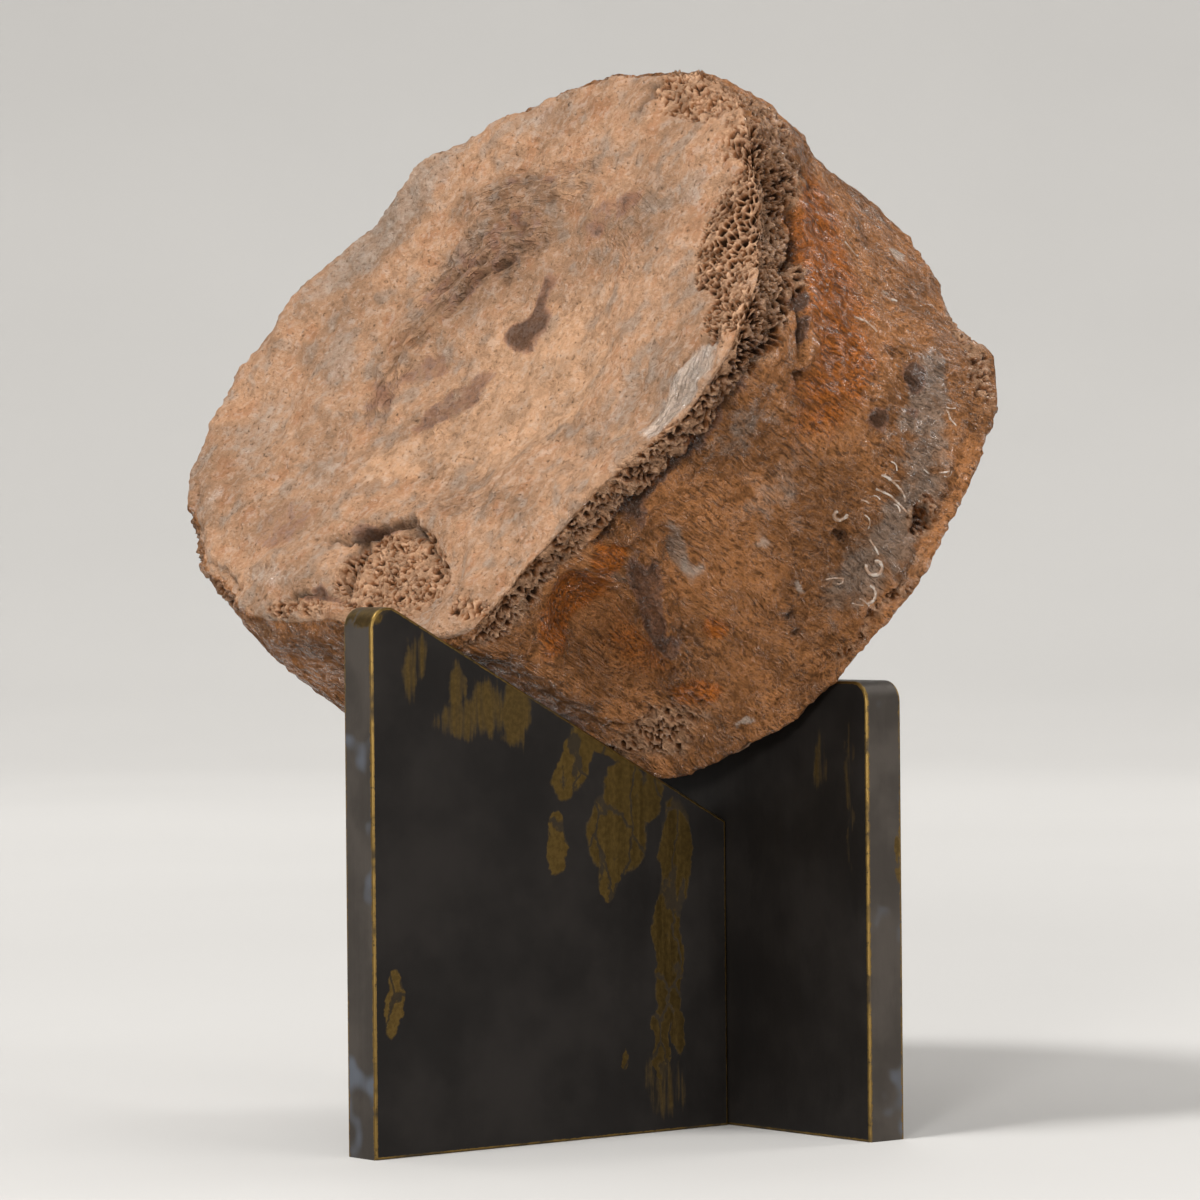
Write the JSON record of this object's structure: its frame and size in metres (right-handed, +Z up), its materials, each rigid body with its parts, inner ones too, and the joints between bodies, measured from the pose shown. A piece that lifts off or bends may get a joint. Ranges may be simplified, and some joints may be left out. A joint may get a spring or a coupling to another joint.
{
  "type": "fossil woolly mammoth vertebra on a brass stand",
  "caption": "Thick oval fossil vertebra body with two shallow hollow faces, lying tilted on a T-shaped stand of two upright blackened brass plates.",
  "frame": {"origin": "on the table, under the line where the middle planes of the two plates meet", "axes": "+Z up, -Y the front that the picture shows, +X to its right"},
  "size_m": [0.1471, 0.1488, 0.1891],
  "materials": {
    "fossil_bone": "worn brown fossil bone, dull to satin, with spongy broken rims",
    "front_plate_brass": "blackened satin patina, rubbed through to brass in patches and along the edges",
    "rear_plate_brass": "blackened satin patina, rubbed through to brass along the edges"
  },
  "bodies": {
    "root": {"vertebra": "fossil_bone", "front_plate": "front_plate_brass", "rear_plate": "rear_plate_brass"}
  },
  "joints": []
}
